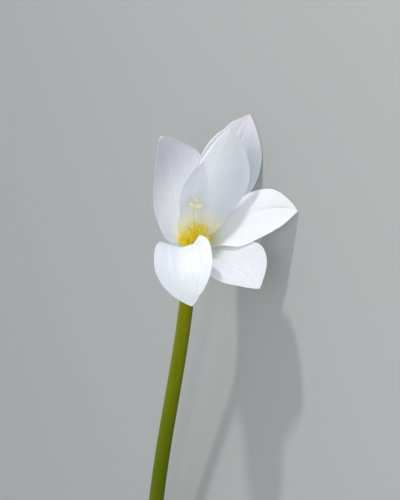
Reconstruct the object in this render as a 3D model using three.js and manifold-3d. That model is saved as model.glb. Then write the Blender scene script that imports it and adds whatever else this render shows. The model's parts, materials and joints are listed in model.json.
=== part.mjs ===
// A cut rain lily: one white flower on its long floral tube, with the spathe and a length of its scape.
// Millimetres and degrees. The flower is built as it grows, round a vertical axis with the throat at the
// origin, then laid down on the three low points that it rests on.

import * as THREE from 'three';
import { mergeVertices } from 'three/addons/utils/BufferGeometryUtils.js';
import Module from 'manifold-3d';

const wasm = await Module();
wasm.setup();

// Driving dimensions of the stalk, measured down from the throat.
const SEAT_GAP = 0.3;
const TUBE_LENGTH = 106;
const TUBE_RADIUS_TOP = 1.6;
const TUBE_RADIUS_FOOT = 1.85;
const TUBE_BORE_RADIUS = 0.8;
const FUNNEL_LENGTH = 9;
const FUNNEL_RADIUS = 3.9;
const OVARY_LENGTH = 8;
const OVARY_RADIUS = 2.3;
const OVARY_FOOT_RADIUS = 1.4;
const SPATHE_LENGTH = 27;
const SPATHE_WALL = 0.6;
const SPATHE_FOOT_RADIUS = 1.8;
const SPATHE_MOUTH_PLAY = 0.3;
const SPATHE_NOTCH_DEPTH = 11;
const SPATHE_NOTCH_WIDTH = 3.6;
const SCAPE_LENGTH = 26;
const SCAPE_RADIUS = 1.8;
const SCAPE_HEAD_RADIUS = 2.6;
const SCAPE_BORE_RADIUS = 0.9;
const STALK_SIDES = 20;

// The rim on top of the funnel, which the tepals and stamens stand on.
const RIM_HEIGHT = -0.6;

// Driving dimensions of the tepals.
const TEPAL_THICKNESS = 0.6;
const TEPAL_TIP_HALF_WIDTH = 0.4;
const TEPAL_FOOT_CUP = 50;
const TEPAL_CUP_SETTLES_AT = 0.35;
const TEPAL_FOOT_FLARE = 1.3;
const TEPAL_TIP_TAPER = 2.1;
const TEPAL_ROWS = 22;
const TEPAL_COLUMNS = 8;
const MIDRIB_STEPS = 440;
const OUTER_WHORL = { footRadius: 3.4, footHalfWidth: 1.3 };
const INNER_WHORL = { footRadius: 2.5, footHalfWidth: 1.1 };

// Each tepal's own form. bearing is its place round the axis. rise is the angle of its midrib from the axis
// at the foot and spread the angle after the bend, which lasts from bendFrom to bendTo along it. lean is the
// sideways angle at the foot, sweep what is added to it by the tip, and twist the turn of the tip about the
// midrib. cup is half the arc that the blade spans from edge to edge, and widest where it is broadest.
const TEPALS = {
  tepal_outer_left: {
    whorl: OUTER_WHORL, bearing: 166.5, length: 32.4, width: 18.5, rise: 6, spread: 11.5, bendFrom: 0.22,
    bendTo: 0.9, lean: 12, sweep: 7, twist: 28.5, cup: 22.5, widest: 0.42,
  },
  tepal_outer_back: {
    whorl: OUTER_WHORL, bearing: 86.5, length: 29.5, width: 14, rise: 37.5, spread: 41.5, bendFrom: 0.1,
    bendTo: 0.77, lean: -19, sweep: 10, twist: 0.5, cup: 20, widest: 0.53,
  },
  tepal_outer_right: {
    whorl: OUTER_WHORL, bearing: -50.5, length: 26.5, width: 14.3, rise: 69, spread: 73.5, bendFrom: 0.17,
    bendTo: 0.8, lean: 5, sweep: -25.5, twist: -29, cup: 37.5, widest: 0.48,
  },
  tepal_inner_back: {
    whorl: INNER_WHORL, bearing: 105, length: 28.2, width: 17, rise: 0, spread: 14, bendFrom: 0.16,
    bendTo: 0.92, lean: -7.5, sweep: -11, twist: -21.5, cup: 45, widest: 0.54,
  },
  tepal_inner_right: {
    whorl: INNER_WHORL, bearing: -3.5, length: 25, width: 15.8, rise: 47, spread: 53, bendFrom: 0.15,
    bendTo: 0.73, lean: 7, sweep: -29, twist: -22, cup: 23, widest: 0.49,
  },
  tepal_inner_front: {
    whorl: INNER_WHORL, bearing: -78.5, length: 29.5, width: 12.5, rise: 44, spread: 150, bendFrom: 0.24,
    bendTo: 0.97, lean: -31, sweep: 49, twist: -27, cup: 24, widest: 0.68,
  },
};

// Driving dimensions of the stamens. bearing is the place of the foot. The anther's middle is at radius,
// around and height, and it points along the angle tilt from the axis, towards the bearing facing.
const STAMEN_FOOT_RADIUS = 1.25;
const FILAMENT_RADIUS = 0.22;
const FILAMENT_KNEE = 0.45;
const FILAMENT_GRIP = 1 / 6;
const ANTHER_LENGTH = 2.4;
const ANTHER_LOBE_RADIUS = 0.28;
const ANTHER_LOBE_SPACING = 0.3;
const STAMENS = [
  { bearing: 150, radius: 1.42, around: 177, height: 3.1, tilt: 40, facing: 190 },
  { bearing: 100, radius: 1.35, around: 98, height: 3.9, tilt: 8, facing: 180 },
  { bearing: 30, radius: 1.9, around: 25, height: 4.1, tilt: 115, facing: -10 },
  { bearing: -30, radius: 2, around: -27, height: 3.5, tilt: 50, facing: -80 },
  { bearing: -95, radius: 2, around: -105, height: 2, tilt: 65, facing: -100 },
  { bearing: -150, radius: 2, around: -150, height: 1.8, tilt: 80, facing: -130 },
];

// Driving dimensions of the style and its three-lobed stigma.
const STYLE_RADIUS = 0.38;
const STYLE_BEND = [[0, 0, 1], [0.35, -0.15, 5.6], [0, -0.25, 8.5], [-0.5, -0.25, 10.4]];
const STIGMA_LOBES = 3;
const STIGMA_FIRST_BEARING = 90;
const STIGMA_LOBE_LENGTH = 1.9;
const STIGMA_LOBE_RADIUS = 0.42;
const STIGMA_SPREAD = 62;

// How the flower lies: its turn about its own axis, and how far the head is raised by its tepals.
const LYING_SPIN = 64.63;
const LYING_LIFT = 6.07;

const rad = THREE.MathUtils.degToRad;

// Runs smoothly from 0 to 1 as x goes from start to end.
function ease(start, end, x) {
  return THREE.MathUtils.smoothstep(x, start, end);
}

// The vector of a given length at an angle from the axis, towards a bearing.
function aim(length, tilt, bearing) {
  return new THREE.Vector3().setFromSphericalCoords(length, rad(tilt), 0)
    .applyAxisAngle(new THREE.Vector3(1, 0, 0), rad(90))
    .applyAxisAngle(new THREE.Vector3(0, 0, 1), rad(bearing + 90));
}

// A closed surface through rings of points, with the two halves of every ring split into triangles alike.
function loft(rings) {
  const count = rings[0].length;
  const faces = [];
  for (let row = 0; row < rings.length - 1; row += 1) {
    for (let k = 0; k < count; k += 1) {
      const a = row * count + k;
      const b = row * count + ((k + 1) % count);
      const c = a + count;
      const d = b + count;
      faces.push(...(k < count / 2 ? [a, b, d, a, d, c] : [a, b, c, b, d, c]));
    }
  }
  const last = (rings.length - 1) * count;
  for (let j = 0; j < count / 2 - 1; j += 1) {
    const far = count - 1 - j;
    faces.push(j, far, j + 1, far, far - 1, j + 1);
    faces.push(last + j, last + j + 1, last + far, last + far, last + j + 1, last + far - 1);
  }
  const geometry = new THREE.BufferGeometry().setFromPoints(rings.flat());
  geometry.setIndex(faces);
  return geometry;
}

// A round bar through points on a curve, with its radius worked out along it.
function bar(curve, radiusAt, sides, rows) {
  const frames = curve.computeFrenetFrames(rows, false);
  const rings = [];
  for (let row = 0; row <= rows; row += 1) {
    const s = row / rows;
    const ring = [];
    for (let k = 0; k < sides; k += 1) {
      const turn = (2 * Math.PI * (k + 0.5)) / sides;
      ring.push(curve.getPointAt(s)
        .addScaledVector(frames.normals[row], radiusAt(s) * Math.cos(turn))
        .addScaledVector(frames.binormals[row], radiusAt(s) * Math.sin(turn)));
    }
    rings.push(ring);
  }
  return loft(rings);
}

// A body turned from a profile of radius and height pairs, round the flower's axis.
function turned(profile) {
  const points = profile.map(([radius, height]) => new THREE.Vector2(radius, height));
  return new THREE.LatheGeometry(points, STALK_SIDES).rotateX(Math.PI / 2);
}

function toManifold(geometry) {
  const bare = new THREE.BufferGeometry();
  bare.setAttribute('position', geometry.getAttribute('position'));
  bare.setIndex(geometry.getIndex());
  const merged = mergeVertices(bare);
  return new wasm.Manifold(new wasm.Mesh({
    numProp: 3,
    vertProperties: new Float32Array(merged.getAttribute('position').array),
    triVerts: new Uint32Array(merged.getIndex().array),
  }));
}

function fromManifold(solid) {
  const mesh = solid.getMesh();
  const geometry = new THREE.BufferGeometry();
  geometry.setAttribute('position', new THREE.BufferAttribute(mesh.vertProperties, 3));
  geometry.setIndex(new THREE.BufferAttribute(mesh.triVerts, 1));
  return geometry;
}

function fused(geometries) {
  return fromManifold(geometries.map(toManifold).reduce((joined, next) => joined.add(next)));
}

// The midrib of a tepal, as the point and direction at each of its rows.
function midrib(form) {
  const point = new THREE.Vector3(form.whorl.footRadius, 0, 0);
  const stations = [];
  for (let step = 0; step <= MIDRIB_STEPS; step += 1) {
    const s = step / MIDRIB_STEPS;
    const angle = rad(form.rise + (form.spread - form.rise) * ease(form.bendFrom, form.bendTo, s));
    const side = rad(form.lean + form.sweep * s);
    const along = new THREE.Vector3(
      Math.sin(angle) * Math.cos(side),
      Math.sin(side),
      Math.cos(angle) * Math.cos(side),
    );
    if (step > 0) point.addScaledVector(along, form.length / MIDRIB_STEPS);
    if (step % (MIDRIB_STEPS / TEPAL_ROWS) === 0) stations.push({ s, angle, along, point: point.clone() });
  }
  return stations;
}

// Half the width of a tepal at a place along it: a narrow foot, a broad middle and a pointed tip.
function halfWidth(form, s) {
  const broad = form.width / 2;
  const foot = form.whorl.footHalfWidth;
  if (s < form.widest) {
    return foot + (broad - foot) * Math.sin((Math.PI / 2) * (s / form.widest)) ** TEPAL_FOOT_FLARE;
  }
  const past = (s - form.widest) / (1 - form.widest);
  return TEPAL_TIP_HALF_WIDTH + (broad - TEPAL_TIP_HALF_WIDTH) * (1 - past ** TEPAL_TIP_TAPER);
}

// A tepal is a blade of even thickness, arched across and bent along its midrib.
function tepal(form) {
  const rings = midrib(form).map(({ s, angle, along, point }) => {
    const inward = new THREE.Vector3(-Math.cos(angle), 0, Math.sin(angle));
    inward.addScaledVector(along, -inward.dot(along)).normalize();
    const across = new THREE.Vector3().crossVectors(inward, along).negate();
    const turn = rad(form.twist * s);
    const right = across.clone().multiplyScalar(Math.cos(turn)).addScaledVector(inward, Math.sin(turn));
    const up = inward.clone().multiplyScalar(Math.cos(turn)).addScaledVector(across, -Math.sin(turn));
    const cup = rad(TEPAL_FOOT_CUP + (form.cup - TEPAL_FOOT_CUP) * ease(0, TEPAL_CUP_SETTLES_AT, s));
    const arcRadius = halfWidth(form, s) / cup;
    const place = (column, offset) => {
      const arc = cup * ((2 * column) / TEPAL_COLUMNS - 1);
      return point.clone()
        .addScaledVector(right, (arcRadius - offset) * Math.sin(arc))
        .addScaledVector(up, arcRadius - (arcRadius - offset) * Math.cos(arc))
        .applyAxisAngle(new THREE.Vector3(0, 0, 1), rad(form.bearing));
    };
    const columns = Array.from({ length: TEPAL_COLUMNS + 1 }, (_, column) => column);
    const front = columns.map((column) => place(column, TEPAL_THICKNESS / 2));
    const back = columns.map((column) => place(column, -TEPAL_THICKNESS / 2)).reverse();
    return [...front, ...back];
  });
  return loft(rings);
}

function filament(stamen, anther) {
  const foot = aim(STAMEN_FOOT_RADIUS, 90, stamen.bearing).setZ(RIM_HEIGHT + SEAT_GAP);
  const knee = foot.clone().setZ(stamen.height * FILAMENT_KNEE);
  return bar(new THREE.QuadraticBezierCurve3(foot, knee, anther), () => FILAMENT_RADIUS, 6, 5);
}

// A stamen is a slender filament that carries an anther of two lobes, held a little below its middle.
function stamen(form) {
  const middle = aim(form.radius, 90, form.around).setZ(form.height);
  const direction = aim(1, form.tilt, form.facing);
  const aside = new THREE.Vector3(-direction.y, direction.x, 0).normalize();
  const lobes = [-0.5, 0.5].map((place) => new THREE.SphereGeometry(1, 8, 6)
    .scale(ANTHER_LOBE_RADIUS, ANTHER_LENGTH / 2, ANTHER_LOBE_RADIUS)
    .applyQuaternion(new THREE.Quaternion().setFromUnitVectors(new THREE.Vector3(0, 1, 0), direction))
    .translate(...middle.clone().addScaledVector(aside, place * ANTHER_LOBE_SPACING)));
  const held = middle.clone().addScaledVector(direction, -ANTHER_LENGTH * FILAMENT_GRIP);
  return fused([...lobes, filament(form, held)]);
}

// A lobe of the stigma is plump in its middle and finer at its tip than at its root.
function lobeRadius(s) {
  return STIGMA_LOBE_RADIUS * (0.8 + 0.5 * Math.sin(Math.PI * s) - 0.25 * s);
}

// The style runs up the bore from the ovary and ends in the lobes of the stigma.
function style() {
  const foot = new THREE.Vector3(0, 0, OVARY_LENGTH - TUBE_LENGTH + SEAT_GAP);
  const path = new THREE.CatmullRomCurve3([foot, ...STYLE_BEND.map((place) => new THREE.Vector3(...place))]);
  const head = new THREE.Vector3(...STYLE_BEND.at(-1));
  const pieces = [bar(path, () => STYLE_RADIUS, 8, 40)];
  for (let lobe = 0; lobe < STIGMA_LOBES; lobe += 1) {
    const bearing = STIGMA_FIRST_BEARING + (360 / STIGMA_LOBES) * lobe;
    const root = head.clone().addScaledVector(aim(1, 0, 0), -STIGMA_LOBE_RADIUS);
    const bend = head.clone().add(aim(STIGMA_LOBE_LENGTH / 2, STIGMA_SPREAD / 2, bearing));
    const tip = bend.clone().add(aim(STIGMA_LOBE_LENGTH / 2, STIGMA_SPREAD * 1.5, bearing));
    const curve = new THREE.QuadraticBezierCurve3(root, bend, tip);
    pieces.push(bar(curve, lobeRadius, 8, 6));
  }
  return fused(pieces);
}

// The tube widens upwards into a funnel whose flat rim carries the tepals, and downwards into the ovary.
function floralTube() {
  const foot = -TUBE_LENGTH;
  return turned([
    [0, foot],
    [OVARY_FOOT_RADIUS, foot],
    [OVARY_RADIUS, foot + OVARY_LENGTH * 0.35],
    [OVARY_RADIUS, foot + OVARY_LENGTH * 0.6],
    [TUBE_RADIUS_FOOT, foot + OVARY_LENGTH * 1.2],
    [TUBE_RADIUS_TOP, -FUNNEL_LENGTH],
    [TUBE_RADIUS_TOP + (FUNNEL_RADIUS - TUBE_RADIUS_TOP) * 0.2, -FUNNEL_LENGTH * 0.6],
    [TUBE_RADIUS_TOP + (FUNNEL_RADIUS - TUBE_RADIUS_TOP) * 0.6, -FUNNEL_LENGTH * 0.25],
    [FUNNEL_RADIUS, RIM_HEIGHT],
    [TUBE_BORE_RADIUS, RIM_HEIGHT],
    [TUBE_BORE_RADIUS, foot + OVARY_LENGTH],
    [0, foot + OVARY_LENGTH],
  ]);
}

// The spathe is a thin sheath with a closed foot and a tip that is split into two points.
function spathe() {
  const foot = -TUBE_LENGTH;
  const tip = foot + SPATHE_LENGTH;
  const belly = OVARY_RADIUS + SEAT_GAP;
  const neck = TUBE_RADIUS_FOOT + SEAT_GAP;
  const inside = [
    [SPATHE_FOOT_RADIUS, foot],
    [belly, foot + OVARY_LENGTH * 0.3],
    [belly, foot + OVARY_LENGTH * 0.9],
    [neck + SPATHE_MOUTH_PLAY, foot + SPATHE_LENGTH * 0.6],
    [neck, tip],
  ];
  const outside = inside.map(([radius, height]) => [radius + SPATHE_WALL, height]);
  const sheath = turned([...outside, ...inside.reverse(), outside[0]]);
  const notch = new THREE.Shape([
    new THREE.Vector2(0, tip - SPATHE_NOTCH_DEPTH),
    new THREE.Vector2(SPATHE_NOTCH_WIDTH / 2, tip + SEAT_GAP),
    new THREE.Vector2(-SPATHE_NOTCH_WIDTH / 2, tip + SEAT_GAP),
  ]);
  const span = 4 * SPATHE_NOTCH_WIDTH;
  const cut = new THREE.ExtrudeGeometry(notch, { depth: span, bevelEnabled: false })
    .translate(0, 0, -span / 2)
    .rotateX(Math.PI / 2);
  return fromManifold(toManifold(sheath).subtract(toManifold(cut)));
}

// The scape is hollow, cut across at its lower end, and its head carries the ovary and the spathe.
function scape() {
  const head = -TUBE_LENGTH - SEAT_GAP;
  return turned([
    [SCAPE_BORE_RADIUS, head - SCAPE_LENGTH],
    [SCAPE_RADIUS, head - SCAPE_LENGTH],
    [SCAPE_RADIUS, head - SCAPE_HEAD_RADIUS],
    [SCAPE_HEAD_RADIUS, head - SCAPE_HEAD_RADIUS * 0.3],
    [SCAPE_HEAD_RADIUS, head],
    [0, head],
    [0, head - SCAPE_HEAD_RADIUS],
    [SCAPE_BORE_RADIUS, head - SCAPE_HEAD_RADIUS * 1.5],
    [SCAPE_BORE_RADIUS, head - SCAPE_LENGTH],
  ]);
}

const flower = new THREE.Group();

function add(name, geometry, color, roughness) {
  const mesh = new THREE.Mesh(geometry, new THREE.MeshStandardMaterial({ color, roughness, metalness: 0 }));
  mesh.name = name;
  flower.add(mesh);
}

add('scape', scape(), 0x667a14, 0.5);
add('spathe', spathe(), 0xb9a07c, 0.7);
add('floral_tube', floralTube(), 0x6f7608, 0.5);
for (const [name, form] of Object.entries(TEPALS)) add(name, tepal(form), 0xf1f2fa, 0.45);
STAMENS.forEach((form, index) => add(`stamen_${index + 1}`, stamen(form), 0xd8a80c, 0.7));
add('style_and_stigma', style(), 0xd6d8a0, 0.5);

// The flower is turned about its own axis, laid down with its head towards -Y, and set on the surface with
// the middle of its outer box over the origin.
flower.rotation.z = rad(180 + LYING_SPIN);
const lying = new THREE.Group();
lying.rotation.x = rad(90 - LYING_LIFT);
lying.add(flower);
const group = new THREE.Group();
group.add(lying);
const box = new THREE.Box3().setFromObject(group, true);
const middle = box.getCenter(new THREE.Vector3());
lying.position.set(-middle.x, -middle.y, -box.min.z);

export default group;
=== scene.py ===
# %% [markdown]
# A cut rain lily
#
# The real object is one white flower on a long green floral tube, picked with its papery spathe and a
# length of its scape, and laid on a table. The CAD model holds its size and its place, and this lesson
# gives it its looks: thin veined tepals, a gold throat, and a green stalk.

# %% Load the fixed frame
import json
import math

import bpy
import numpy as np
from mathutils import Matrix, Vector

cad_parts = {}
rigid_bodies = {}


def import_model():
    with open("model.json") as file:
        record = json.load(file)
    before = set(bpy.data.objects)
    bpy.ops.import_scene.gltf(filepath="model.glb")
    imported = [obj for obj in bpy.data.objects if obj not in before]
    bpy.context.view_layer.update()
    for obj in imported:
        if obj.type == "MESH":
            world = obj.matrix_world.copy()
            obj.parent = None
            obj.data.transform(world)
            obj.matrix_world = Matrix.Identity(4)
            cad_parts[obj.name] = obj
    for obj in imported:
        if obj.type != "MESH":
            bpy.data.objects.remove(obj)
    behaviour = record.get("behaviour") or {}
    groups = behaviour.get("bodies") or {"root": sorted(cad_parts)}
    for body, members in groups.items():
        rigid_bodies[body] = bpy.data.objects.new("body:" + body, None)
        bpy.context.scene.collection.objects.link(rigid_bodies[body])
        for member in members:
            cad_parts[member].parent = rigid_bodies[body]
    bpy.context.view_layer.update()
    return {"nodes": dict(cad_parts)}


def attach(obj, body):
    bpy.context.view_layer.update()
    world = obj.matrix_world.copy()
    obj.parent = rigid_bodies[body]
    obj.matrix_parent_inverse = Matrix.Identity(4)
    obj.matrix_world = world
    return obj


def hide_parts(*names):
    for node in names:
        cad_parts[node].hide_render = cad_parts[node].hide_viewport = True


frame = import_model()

# %% [markdown]
# The CAD model is a fixed frame.

# %% [markdown]
# A flower is easiest to shape as it grows, upright round its own axis, in millimetres. So every piece is
# modelled that way, with the throat at the origin, and is laid down as the last step. The matrix for it
# turns the flower as the CAD model is turned, and finds the throat at the rim of the CAD tube. The rim is
# a regular ring, so the middle of its box is the middle of the ring.

# %% Find how the flower lies
MM = 0.001
LYING_SPIN = 64.63
LYING_LIFT = 6.07
RIM_HEIGHT = -0.6

turn = Matrix.Rotation(math.radians(90 - LYING_LIFT), 4, "X") @ Matrix.Rotation(
    math.radians(180 + LYING_SPIN), 4, "Z"
)
axis = turn.to_3x3() @ Vector((0, 0, 1))


def middle_of_rim(node):
    """The middle of the ring of corners that lies furthest along the flower's axis."""
    corners = np.array([corner.co for corner in node.data.vertices])
    along = corners @ np.array(axis)
    ring = corners[along > along.max() - 0.05 * MM]
    return Vector((ring.min(axis=0) + ring.max(axis=0)) / 2)


throat = middle_of_rim(frame["nodes"]["floral_tube"]) - axis * RIM_HEIGHT * MM
lay_down = Matrix.Translation(throat) @ turn @ Matrix.Scale(MM, 4)
print("throat in mm:", [round(1000 * x, 2) for x in throat])

# %% [markdown]
# Operators act on everything that is selected, so each step starts from nothing selected. A finished
# piece is laid down, smoothed, hung on its CAD body, and put in the place of its CAD node.

# %% Helpers for working as by hand
pieces = {}


def pick_only(*objects):
    """Selects these objects and no others, and makes the first one active."""
    if bpy.context.mode != "OBJECT":
        bpy.ops.object.mode_set(mode="OBJECT")
    for other in bpy.context.view_layer.objects:
        other.select_set(other in objects)
    bpy.context.view_layer.objects.active = objects[0] if objects else None


def apply_modifier(piece, kind, **settings):
    """Adds a modifier, sets it up and applies it."""
    pick_only(piece)
    modifier = piece.modifiers.new(kind.lower(), kind)
    for name, value in settings.items():
        setattr(modifier, name, value)
    bpy.ops.object.modifier_apply(modifier=modifier.name)


def join(parts, name):
    """Joins several objects into one."""
    pick_only(*parts)
    bpy.ops.object.join()
    joined = bpy.context.object
    joined.name = name
    return joined


def mark_faces(part, first_faces):
    """Gives a part two material places. Its first faces take the first place, and the rest the second."""
    while len(part.data.materials) < 2:
        part.data.materials.append(None)
    rest = len(part.data.polygons) - first_faces
    part.data.polygons.foreach_set("material_index", [0] * first_faces + [1] * rest)


def dress(node, *materials):
    """Puts materials on a finished piece."""
    for place, material in enumerate(materials):
        if place < len(pieces[node].data.materials):
            pieces[node].data.materials[place] = material
        else:
            pieces[node].data.materials.append(material)


def finish_piece(piece, node):
    """Lays a piece down, smooths it and lets it stand for its CAD node."""
    piece.name = f"{node}_shown"
    piece.data.name = piece.name
    piece.matrix_world = lay_down
    pick_only(piece)
    bpy.ops.object.transform_apply()
    bpy.ops.object.shade_smooth_by_angle(angle=math.radians(60))
    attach(piece, "root")
    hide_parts(node)
    pieces[node] = piece
    print(piece.name, len(piece.data.polygons), "faces")
    return piece


# %% [markdown]
# Two small formulas do most of the shaping: a smooth step from 0 to 1, and a smooth hump of height 1.


# %% Smooth steps and humps
def step(start, end, x):
    """Runs smoothly from 0 to 1 as x goes from start to end."""
    t = np.clip((x - start) / (end - start), 0, 1)
    return t * t * (3 - 2 * t)


def hump(x, middle, reach):
    """Is 1 at the middle and fades away on both sides within about the reach."""
    return np.exp(-(((x - middle) / reach) ** 2))


# %% [markdown]
# The tepals are the flower: three outer and three inner ones that look alike, as in all lilies. Each is a
# thin blade that rises from the throat and bends outwards. It could be sculpted from a plane by hand, but
# six blades that pass each other within a millimetre need exact places, so each is a flat grid whose
# corners are moved by one formula: along the midrib, across the cupped blade, and off its face for veins
# and folds. The driving sizes are those of the CAD model, in millimetres and degrees.

# %% The form of each tepal
OUTER_WHORL = {"foot_radius": 3.4, "foot_half_width": 1.3}
INNER_WHORL = {"foot_radius": 2.5, "foot_half_width": 1.1}
TEPALS = {
    "tepal_outer_left": {
        "whorl": OUTER_WHORL, "bearing": 166.5, "length": 32.4, "width": 18.5, "rise": 6, "spread": 11.5,
        "bend_from": 0.22, "bend_to": 0.9, "lean": 12, "sweep": 7, "twist": 28.5,
        "cup": 22.5, "widest": 0.42,
    },
    "tepal_outer_back": {
        "whorl": OUTER_WHORL, "bearing": 86.5, "length": 29.5, "width": 14, "rise": 37.5, "spread": 41.5,
        "bend_from": 0.1, "bend_to": 0.77, "lean": -19, "sweep": 10, "twist": 0.5,
        "cup": 20, "widest": 0.53,
    },
    "tepal_outer_right": {
        "whorl": OUTER_WHORL, "bearing": -50.5, "length": 26.5, "width": 14.3, "rise": 69, "spread": 73.5,
        "bend_from": 0.17, "bend_to": 0.8, "lean": 5, "sweep": -25.5, "twist": -29,
        "cup": 37.5, "widest": 0.48,
    },
    "tepal_inner_back": {
        "whorl": INNER_WHORL, "bearing": 105, "length": 28.2, "width": 17, "rise": 0, "spread": 14,
        "bend_from": 0.16, "bend_to": 0.92, "lean": -7.5, "sweep": -11, "twist": -21.5,
        "cup": 45, "widest": 0.54,
    },
    "tepal_inner_right": {
        "whorl": INNER_WHORL, "bearing": -3.5, "length": 25, "width": 15.8, "rise": 47, "spread": 53,
        "bend_from": 0.15, "bend_to": 0.73, "lean": 7, "sweep": -29, "twist": -22,
        "cup": 23, "widest": 0.49,
    },
    "tepal_inner_front": {
        "whorl": INNER_WHORL, "bearing": -78.5, "length": 29.5, "width": 12.5, "rise": 44, "spread": 150,
        "bend_from": 0.24, "bend_to": 0.97, "lean": -31, "sweep": 49, "twist": -27,
        "cup": 24, "widest": 0.68,
    },
}
print(len(TEPALS), "tepals")

# %% [markdown]
# The midrib is walked in short steps. At each step it knows its direction, and two more directions square
# to it: one across the blade and one out of its inner face.

# %% The midrib
MIDRIB_STEPS = 440
CUP_SETTLES_AT = 0.35
FOOT_FLARE = 1.3
TIP_TAPER = 2.1
TIP_HALF_WIDTH = 0.12


def unit(rows):
    """Rows of vectors, each brought to length 1."""
    return rows / np.linalg.norm(rows, axis=1, keepdims=True)


def midrib(form):
    """The point and the three directions of the midrib, at even places from foot to tip."""
    s = np.linspace(0, 1, MIDRIB_STEPS + 1)
    bend = form["rise"] + (form["spread"] - form["rise"]) * step(form["bend_from"], form["bend_to"], s)
    angle, side = np.radians(bend), np.radians(form["lean"] + form["sweep"] * s)
    along = np.stack([np.sin(angle) * np.cos(side), np.sin(side), np.cos(angle) * np.cos(side)], axis=1)
    walked = np.cumsum(along[1:], axis=0) * form["length"] / MIDRIB_STEPS
    point = np.vstack([np.zeros(3), walked]) + (form["whorl"]["foot_radius"], 0, 0)
    inward = np.stack([-np.cos(angle), np.zeros_like(s), np.sin(angle)], axis=1)
    inward = unit(inward - along * np.sum(inward * along, axis=1, keepdims=True))
    across = -np.cross(inward, along)
    twist = np.radians(form["twist"] * s)[:, None]
    right = across * np.cos(twist) + inward * np.sin(twist)
    up = inward * np.cos(twist) - across * np.sin(twist)
    return s, point, along, right, up


def half_width(form, s):
    """Half the width of the blade: a narrow foot, a broad middle and a pointed tip."""
    broad, foot = form["width"] / 2, form["whorl"]["foot_half_width"]
    rising = np.sin((math.pi / 2) * np.clip(s / form["widest"], 0, 1)) ** FOOT_FLARE
    past = np.clip((s - form["widest"]) / (1 - form["widest"]), 0, 1)
    lower = foot + (broad - foot) * rising
    upper = TIP_HALF_WIDTH + (broad - TIP_HALF_WIDTH) * (1 - past**TIP_TAPER)
    return np.where(s < form["widest"], lower, upper)


# %% [markdown]
# No two tepals are quite alike. Each has its own folds, which run lengthwise, its own edge, which swells
# and draws in a little, and its own waves along that edge. A fold is given by its place across, where it
# starts and ends along the blade, its reach across, and its height off the inner face. An edge is given
# by its side, its place along, its reach and how far it is pushed out. foot_cup is half the arc that the
# foot of the blade spans, so it says how much the foot is folded into a channel. A sag lets a part of the
# blade sink back and down, or stand forward where it is below zero: it has its place across and along, its
# two reaches and its depth. So the right inner tepal comes to rest on the outer one beneath it.

# %% Folds, edges and waves of each tepal
DETAILS = {
    "tepal_outer_left": {
        "folds": [
            (0.0, 0.1, 1, 0.05, -0.22), (0.45, 0.3, 1, 0.14, -0.18), (-0.4, 0.2, 0.9, 0.14, 0.12),
            (0.95, 0.5, 0.95, 0.1, 0.35),
        ],
        "edges": [
            (-1, 0.2, 0.12, 1.2), (1, 0.65, 0.12, 0.3), (-1, 0.48, 0.06, -0.2), (1, 0.93, 0.04, 0.25),
            (1, 0.08, 0.1, 0.8),
        ],
        "foot_cup": 50, "wave": 0.3, "waves": 1.6, "phase": 0.4,
    },
    "tepal_outer_back": {
        "folds": [
            (0.0, 0.1, 1, 0.05, -0.25), (0.4, 0.3, 0.95, 0.12, 0.18), (-0.35, 0.4, 1, 0.1, -0.15),
            (-0.95, 0.4, 0.95, 0.1, 0.4),
        ],
        "edges": [(-1, 0.9, 0.04, 0.3), (-1, 0.82, 0.03, -0.2), (1, 0.75, 0.08, 0.2)],
        "foot_cup": 50, "wave": 0.25, "waves": 2.2, "phase": 1.3,
    },
    "tepal_outer_right": {
        "folds": [(0.0, 0.1, 1, 0.05, -0.2), (0.4, 0.3, 0.9, 0.12, 0.15), (-0.45, 0.2, 0.9, 0.12, 0.12)],
        "edges": [(-1, 0.97, 0.02, 0.12), (1, 0.6, 0.1, -0.15)],
        "sags": [(-0.8, 0.4, 0.7, 0.3, -1.3)],
        "foot_cup": 40, "wave": 0.2, "waves": 1.9, "phase": 2.1,
    },
    "tepal_inner_back": {
        "folds": [
            (0.0, 0.05, 1, 0.07, -0.2), (0.33, 0.2, 0.95, 0.12, 0.15), (-0.38, 0.2, 0.9, 0.14, 0.15),
            (-0.97, 0.55, 0.95, 0.08, 0.5),
        ],
        "edges": [
            (1, 0.9, 0.07, 0.35), (1, 0.46, 0.1, -0.3), (1, 0.12, 0.14, 1.9), (-1, 0.9, 0.06, 0.3),
            (-1, 0.7, 0.06, -0.25), (-1, 0.1, 0.13, 2.3),
        ],
        "sags": [(0.15, 0.5, 0.5, 0.35, 1.6)],
        "foot_cup": 50, "wave": 0.2, "waves": 1.7, "phase": 0.9,
    },
    "tepal_inner_right": {
        "folds": [(0.0, 0.1, 1, 0.05, -0.15), (-0.35, 0.4, 1, 0.06, -0.45), (0.4, 0.3, 0.9, 0.12, 0.12)],
        "edges": [(1, 0.83, 0.015, -0.15), (-1, 0.7, 0.08, 0.15), (-1, 0.1, 0.1, 0.9)],
        "sags": [(1, 0.45, 0.6, 0.3, 1.6)],
        "foot_cup": 18, "wave": 0.18, "waves": 2.3, "phase": 2.6,
    },
    "tepal_inner_front": {
        "folds": [
            (0.0, 0.1, 0.8, 0.34, -0.8), (0.4, 0.4, 1, 0.08, 0.15), (-0.4, 0.4, 1, 0.1, 0.18),
            (-0.45, 0.05, 0.8, 0.2, -0.55), (-1, 0.05, 0.6, 0.15, 0.6),
        ],
        "edges": [(-1, 0.93, 0.012, -0.25), (1, 0.7, 0.1, 0.15), (-1, 0.44, 0.08, -0.85)],
        "foot_cup": 50, "wave": 0.15, "waves": 2.6, "phase": 0.2,
    },
}

# %% [markdown]
# The veins of a lily run side by side from foot to tip. The broad ones are real ridges in the mesh, and
# the fine ones are left to the material.

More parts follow.
